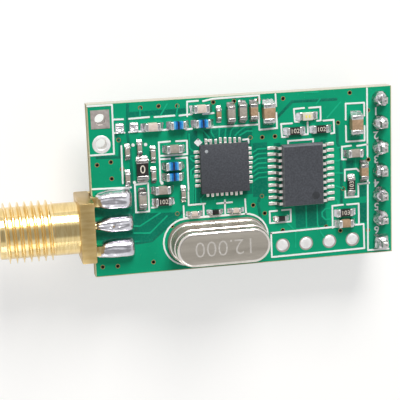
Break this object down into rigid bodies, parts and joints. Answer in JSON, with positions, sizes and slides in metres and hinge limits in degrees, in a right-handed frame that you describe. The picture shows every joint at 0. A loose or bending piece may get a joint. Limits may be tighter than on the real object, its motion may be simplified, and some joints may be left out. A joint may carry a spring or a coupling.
{
  "type": "wireless serial module",
  "caption": "Small radio board with an edge-mounted threaded antenna jack, a metal crystal can, moulded chips and a row of header pins.",
  "frame": {"origin": "middle of the module's outline, level with the lower ends of the header pins", "axes": "+X along the board from the antenna jack to the header, +Y across the board, +Z out of the component side"},
  "size_m": [0.0412, 0.0178, 0.0098],
  "materials": {
    "green_laminate": "semi-gloss solder mask over glass-fibre laminate",
    "tin": "dull tin plating",
    "solder": "bright solder",
    "gilt_brass": "gold-plated brass, bright",
    "white_core": "white fluoropolymer, waxy",
    "black_plastic": "moulded black plastic",
    "can_steel": "nickel-plated drawn steel, satin",
    "moulding": "black moulding compound, fine matte",
    "white_plastic": "white plastic",
    "clear_resin": "clear resin",
    "tan_ceramic": "matt sintered ceramic",
    "grey_ceramic": "matt sintered ceramic",
    "black_ceramic": "black glaze over ceramic",
    "blue_ceramic": "blue coating over ceramic"
  },
  "bodies": {
    "root": {"antenna_pad_round": "tin", "antenna_pad_square": "tin", "board": "green_laminate", "capacitor_1": "grey_ceramic", "capacitor_10": "tan_ceramic", "capacitor_11": "tan_ceramic", "capacitor_12": "grey_ceramic", "capacitor_13": "grey_ceramic", "capacitor_14": "grey_ceramic", "capacitor_15": "grey_ceramic", "capacitor_16": "grey_ceramic", "capacitor_17": "grey_ceramic", "capacitor_18": "grey_ceramic", "capacitor_19": "grey_ceramic", "capacitor_2": "grey_ceramic", "capacitor_20": "grey_ceramic", "capacitor_21": "grey_ceramic", "capacitor_22": "grey_ceramic", "capacitor_3": "tan_ceramic", "capacitor_4": "grey_ceramic", "capacitor_5": "grey_ceramic", "capacitor_6": "tan_ceramic", "capacitor_7": "tan_ceramic", "capacitor_8": "tan_ceramic", "capacitor_9": "grey_ceramic", "chip_joints": "solder", "controller_body": "moulding", "controller_leads": "tin", "crystal_base": "can_steel", "crystal_can": "can_steel", "crystal_joints_back": "solder", "crystal_leads": "can_steel", "header_joints": "solder", "header_pins": "gilt_brass", "header_strip": "black_plastic", "inductor_1": "blue_ceramic", "inductor_2": "blue_ceramic", "inductor_3": "blue_ceramic", "inductor_4": "blue_ceramic", "jack_contact": "gilt_brass", "jack_insulator": "white_core", "jack_joint_contact": "solder", "jack_joint_lower": "solder", "jack_joint_upper": "solder", "jack_joints_back": "solder", "jack_shell": "gilt_brass", "led_base": "white_plastic", "led_lens": "clear_resin", "port_joints": "solder", "resistor_1": "black_ceramic", "resistor_2": "black_ceramic", "resistor_3": "black_ceramic", "resistor_4": "black_ceramic", "resistor_5": "black_ceramic", "resistor_6": "black_ceramic", "resistor_7": "black_ceramic", "resistor_8": "black_ceramic", "transceiver_body": "moulding", "transceiver_terminals": "tin"}
  },
  "joints": []
}
